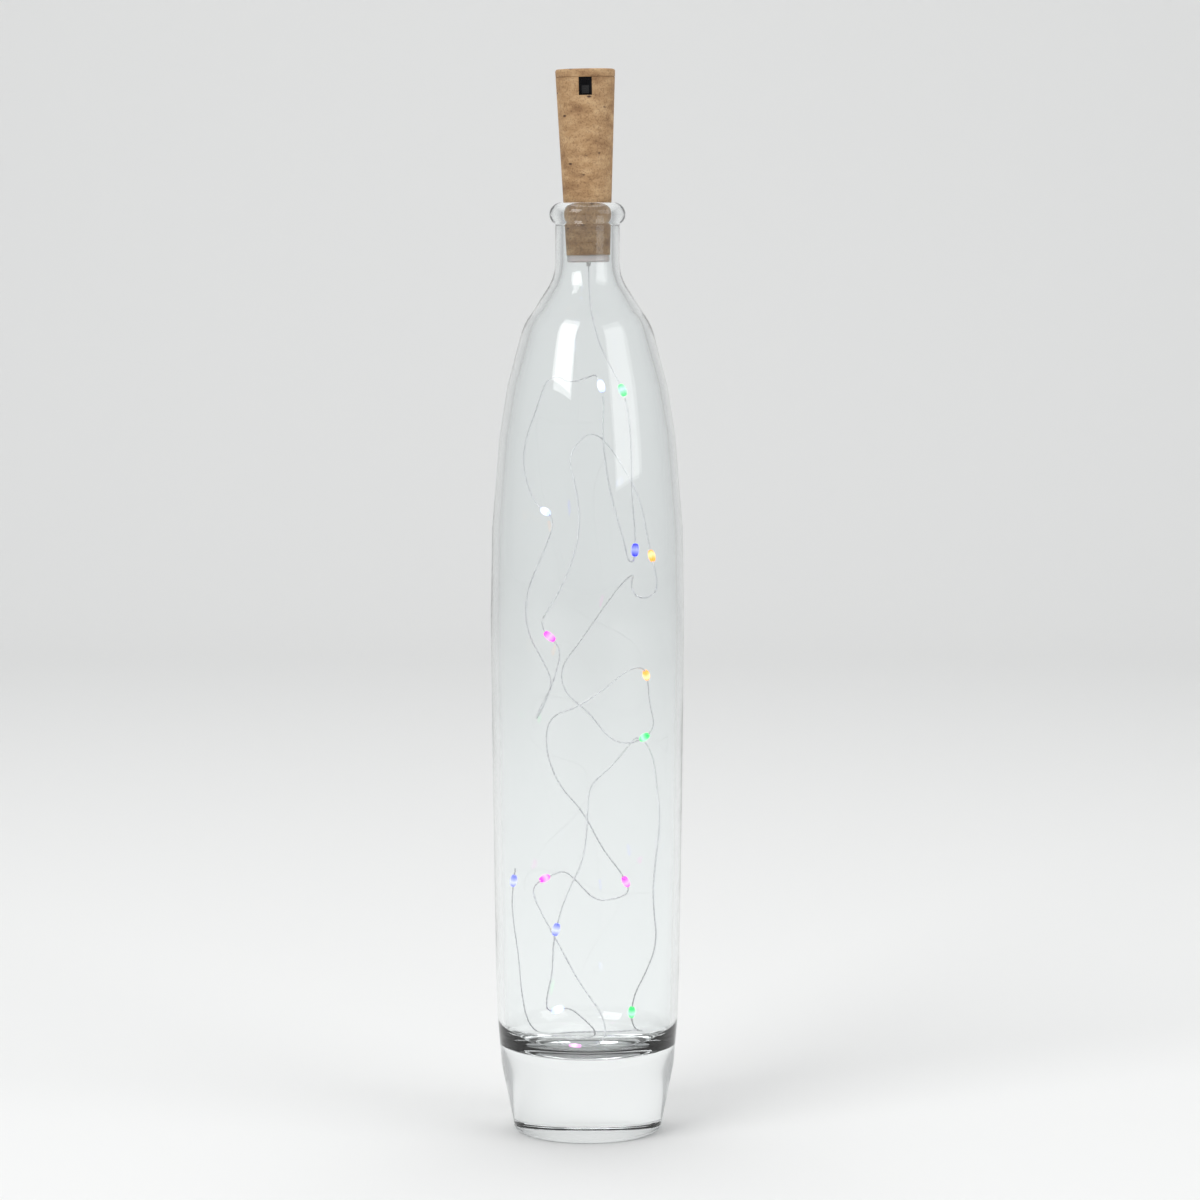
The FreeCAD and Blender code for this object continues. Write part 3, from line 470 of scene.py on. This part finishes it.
# Radius at share t of the length: end + (radius - end) * sin(pi t) ^ swell, drawn in to the tip at
# both ends where the drop meets the wires. The UV map has the way round in U and t in V.
def lampDrop(name, centre, along):
    rings, sides = lamps["rings"], lamps["sides"]
    shares = np.linspace(0, 1, rings)
    radii = lamps["end"] + (lamps["radius"] - lamps["end"]) * np.sin(math.pi * shares) ** lamps["swell"]
    radii[[0, -1]] = lamps["tip"]
    upright = turnedPoints(np.stack([radii, (shares - 0.5) * lamps["length"]], axis=-1), sides)
    turn = np.array(Vector((0, 0, 1)).rotation_difference(Vector(along)).to_matrix())
    points = (upright @ turn.T + centre).reshape(-1, 3)
    thing = meshObject(name, points, gridFaces(rings, sides, capEnds=True))
    around, along = np.tile(np.arange(sides) / sides, rings), np.repeat(shares, sides)
    addMap(thing.data, np.stack([around, along], axis=-1))
    return thing


glowMaterials = {key: lampEpoxy("epoxy drop, " + key, rim, core, lamps["strength"])
                 for key, (rim, core, _) in lamps["glow"].items()}
drops = []
for number, (run, colour) in enumerate(zip(lampRuns, lamps["colours"]), start=1):
    start, end = np.array(route[run], float), np.array(route[run + 1], float)
    drop = lampDrop(f"lamp_drop_{number:02d}", (start + end) / 2 * mm, end - start)
    drop.data.materials.append(glowMaterials[colour])
    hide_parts(f"lamp_{number:02d}")
    drops.append(drop)

# The string hangs from the cork and rests on the bottle's floor along its route; here the wires and drops
# only have their placings baked into their points
for thing in [wires] + drops:
    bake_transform(thing)
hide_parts("light_string")
print("string and lamps made")

# Bottle: one wall from the hollow under the foot, up the outside, over the lip and down inside

bottle = {
    "height": 360.0, "wall": 3.0, "slopedWall": 3.5,
    # Foot: a ring under the edge, hollow inside it, with softened edges
    "footRadius": 28.8, "footRound": 2.2, "ring": 3.6, "pushUp": 1.4, "pushUpHalfWay": 1.008,
    "ringInside": (0.8, 0.12), "ringLand": 0.4,
    # (radius, height) up the outside, and the radii of the arcs between
    "heel": (33.6, 26.0), "waist": (35.7, 64.0), "low": (36.62, 130.0), "belly": (37.4, 200.0),
    "shoulder": (33.8, 271.0), "brow": (25.7, 309.0), "crown": (20.9, 318.5), "throat": (15.2, 327.5),
    "neck": (12.3, 337.5),
    "heelArc": 400.0, "flankArc": 560.0, "shoulderArc": 190.0, "browArc": 25.0, "throatArc": 18.7,
    # Bead and bore, and the small hollow under the bead
    "beadRadius": 14.35, "beadSection": 4.5, "beadFlare": (13.5, 352.6), "bore": 9.408,
    "underBead": 0.6, "underBeadOut": (0.12, 0.1), "boreArc": 26.0,
    # Inside: rounded corner, then a floor dished a little
    "baseThickness": 32.5, "cavityCorner": 11.5, "draft": 0.5, "floorRim": 8.0, "dish": 0.2,
    "around": 200,
}


# Half section of the glass, each step the outer or inner form's (radius, height, arc to the next)
def bottleOutline():
    b = bottle
    wall, slope = b["wall"], b["slopedWall"]
    inner = b["footRadius"] - b["footRound"] - b["ring"]
    beadFoot = math.sqrt(b["beadSection"]**2 - (b["neck"][0] - b["beadRadius"] + b["beadSection"])**2)
    lip = b["beadRadius"] - b["beadSection"] - b["bore"]
    neckTop = b["height"] - b["beadSection"] - beadFoot
    corner = b["waist"][0] - wall - b["draft"]
    floor, floorEdge = b["baseThickness"], corner - b["cavityCorner"]
    return outline([
        (0.0, b["pushUp"], None),
        (inner / 2, b["pushUpHalfWay"], None),
        (inner - b["ringInside"][0], b["ringInside"][1], None),
        (inner + b["ringLand"], 0.0, None),
        (b["footRadius"] - b["footRound"], 0.0, b["footRound"]),
        (b["footRadius"], b["footRound"], None),
        (*b["heel"], b["heelArc"]),
        (*b["waist"], None),
        (*b["low"], None),
        (*b["belly"], b["flankArc"]),
        (*b["shoulder"], b["shoulderArc"]),
        (*b["brow"], b["browArc"]),
        (*b["crown"], None),
        (*b["throat"], -b["throatArc"]),
        (*b["neck"], None),
        (b["neck"][0], neckTop - b["underBead"], None),
        (b["neck"][0] + b["underBeadOut"][0], neckTop + b["underBeadOut"][1], None),
        (*b["beadFlare"], b["beadSection"]),
        (b["beadRadius"] - b["beadSection"], b["height"], lip),
        (b["bore"], b["height"] - lip, None),
        (b["bore"], b["neck"][1], b["boreArc"]),
        (b["throat"][0] - slope, b["throat"][1], None),
        (b["crown"][0] - slope, b["crown"][1], wall - b["browArc"]),
        (b["brow"][0] - slope, b["brow"][1], wall - b["shoulderArc"]),
        (b["shoulder"][0] - wall, b["shoulder"][1], wall - b["flankArc"]),
        (b["belly"][0] - wall, b["belly"][1], None),
        (b["low"][0] - wall, b["low"][1], None),
        (b["waist"][0] - wall, b["waist"][1], None),
        (corner, floor + b["cavityCorner"], -b["cavityCorner"]),
        (floorEdge, floor, None),
        (floorEdge - b["floorRim"], floor - b["dish"] / 2, None),
        (0.0, floor - b["dish"], None),
    ])


glass = turned("bottle_glass", bottleOutline(), around=bottle["around"])
glass.data.materials.append(flintGlass())
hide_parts("bottle")
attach(glass, "bottle")
print("bottle made", len(glass.data.polygons))

# Cork light: printed shell and cap, milky end cap, gland

cork = {
    "rim": 360.0, "lean": 1.0,    # mm up the bottle, degrees to the left
    "proud": 50.5, "plug": 22.7, "topRadius": 11.45, "endRadius": 8.2,
    "cap": 3.0, "capRound": 0.9, "seamCover": 0.12, "coverReach": 1.9, "seamEdge": 0.22,
    "topDish": (0.02, 0.03),    # sink of the top, half way in and at the middle
    "endCap": 2.8, "endRound": 0.8, "inset": 0.1, "leadBore": 3.5, "spigot": 3.0, "gland": 0.9, "fit": 0.1,
}
corkFinish = corkEffectPlastic()


# A cork piece is made about its own axis with the rim at 0: turned by the lean about Y, then raised to
# the rim
def seat(thing):
    x, y, z = meshPlaces(thing.data).T
    lean = math.radians(cork["lean"])
    placed = np.stack([x * math.cos(lean) - z * math.sin(lean), y,
                       x * math.sin(lean) + z * math.cos(lean) + cork["rim"] * mm], axis=-1)
    thing.data.vertices.foreach_set("co", placed.ravel())
    thing.data.update()
    return thing


# Even taper from the plug's end to the top
def corkRadius(height):
    share = (height + cork["plug"]) / (cork["proud"] + cork["plug"])
    return cork["endRadius"] + (cork["topRadius"] - cork["endRadius"]) * share


# A shallow lip round the cap's underside closes most of the seam, so that no daylight shows through
capUnder = cork["proud"] - cork["cap"]
lipUnder = capUnder - cork["seamCover"]
lipInner = corkRadius(capUnder) - cork["coverReach"]
topCap = turned("cork_top_cap_moulding", outline([
    (0.0, capUnder, None),
    (lipInner, capUnder, None),
    (lipInner, lipUnder, None),
    (corkRadius(lipUnder) - cork["seamEdge"], lipUnder, None),
    (corkRadius(lipUnder), lipUnder + cork["seamEdge"], None),
    (corkRadius(cork["proud"] - cork["capRound"]), cork["proud"] - cork["capRound"], cork["capRound"]),
    (cork["topRadius"] - cork["capRound"], cork["proud"], None),
    (cork["topRadius"] / 2, cork["proud"] - cork["topDish"][0], None),
    (0.0, cork["proud"] - cork["topDish"][1], None),
]))
seat(topCap).data.materials.append(corkFinish)
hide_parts("cork_top_cap")
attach(topCap, "battery_tray")

shellEnd = cork["endCap"] - cork["plug"]
capRadius = cork["endRadius"] - cork["inset"]
spigotRadius = cork["leadBore"] - cork["fit"]
endCap = turned("cork_end_cap_moulding", outline([
    (cork["gland"], -cork["plug"], None),
    (capRadius - cork["endRound"], -cork["plug"], cork["endRound"]),
    (capRadius, cork["endRound"] - cork["plug"], None),
    (capRadius, shellEnd, None),
    (spigotRadius, shellEnd, None),
    (spigotRadius, shellEnd + cork["spigot"], None),
    (cork["gland"], shellEnd + cork["spigot"], None),
]), closed=True)
seat(endCap).data.materials.append(clearPlastic())
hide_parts("cork_end_cap")
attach(endCap, "cork")

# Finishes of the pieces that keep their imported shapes

nickel = metal("nickel plated strip, rolled", "#9A968E", "#C4C0B6", 0.3, 0.25)
cellCan = metal("nickel plated cell can, pressed", "#CBCAC5", "#DAD9D4", 0.2, 0.5)
darkCan = metal("steel can, blackened", "#252527", "#343437", 0.42, 0.4)
blackMoulding = mouldedPlastic("ABS, spark-eroded mould, black", "#141416", "#202023", 0.45)
finishes = {
    "cork_body": corkFinish,
    "wire_gland": mouldedPlastic("ABS, polished mould, white", "#DDDCDA", "#F0EFEE", 0.3),
    "battery_tray": blackMoulding,
    "switch_knob": blackMoulding,
    "contact_board": circuitLaminate(),
    "lead_wires": nickel,
    "switch_housing": darkCan,
    "resistor": mouldedPlastic("fired ceramic chip", "#1B1B1E", "#2A2A2E", 0.5),
}
finishes["circuit_board"] = finishes["contact_board"]
for node in ("front_leaf_contact", "back_leaf_contact", "positive_contact", "negative_contact",
             "switch_strip", "switch_pins"):
    finishes[node] = nickel
for node in ("button_cell_lower", "button_cell_middle", "button_cell_upper"):
    finishes[node] = cellCan
for node, finish in finishes.items():
    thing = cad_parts[node]
    thing.data.materials.clear()
    thing.data.materials.append(finish)
print("finishes set", len(finishes))

# Stage: pale floor and backdrop, soft studio light


def mattPaper():
    # Seamless photographer's paper, uncoated: one even pale tone
    material, tree, shader = newMaterial("seamless paper, uncoated")
    setShader(shader, **{"Base Color": linear(stage["paper"]), "Roughness": 0.9})
    return material


stage = {
    "paper": "#EDEDEC", "reach": 4.0, "curve": 0.6, "back": 1.6, "height": 3.0,    # metres
    "room": "#E6E8EA", "roomLight": 0.55,
    "aim": (0, 0, 0.2),
    "softboxes": [    # name, place, size, watts
        ("keySoftbox", (-1.3, -1.5, 1.7), 1.3, 26.0),
        ("fillSoftbox", (1.6, -1.1, 1.1), 1.4, 12.0),
        ("topSoftbox", (0.0, 0.4, 2.2), 1.6, 18.0),
    ],
}
# One sheet: flat along the floor, up through a quarter circle, straight up behind
rise = np.linspace(0, math.pi / 2, 24)
sheetY = np.concatenate([[-stage["reach"]], stage["back"] + stage["curve"] * np.sin(rise),
                         [stage["back"] + stage["curve"]]])
sheetZ = np.concatenate([[0], stage["curve"] * (1 - np.cos(rise)), [stage["height"]]])
edges = np.array([-stage["reach"], stage["reach"]])
paper = np.stack(np.broadcast_arrays(edges, sheetY[:, None], sheetZ[:, None]), axis=-1).reshape(-1, 3)
backdrop = meshObject("paper_sweep", paper, gridFaces(len(sheetY), 2, closeAround=False))
backdrop.data.materials.append(mattPaper())

for name, place, size, power in stage["softboxes"]:
    lamp = bpy.data.lights.new(name, "AREA")
    lamp.shape = "SQUARE"
    lamp.size = size
    lamp.energy = power
    holder = bpy.data.objects.new(name, lamp)
    holder.location = place
    holder.rotation_euler = (Vector(stage["aim"]) - Vector(place)).to_track_quat("-Z", "Y").to_euler()
    bpy.context.scene.collection.objects.link(holder)

world = bpy.data.worlds.new("studio")
bpy.context.scene.world = world
world.use_nodes = True
background = world.node_tree.nodes["Background"]
background.inputs["Color"].default_value = linear(stage["room"])
background.inputs["Strength"].default_value = stage["roomLight"]
bpy.context.scene.view_settings.view_transform = "Standard"
print("stage set")
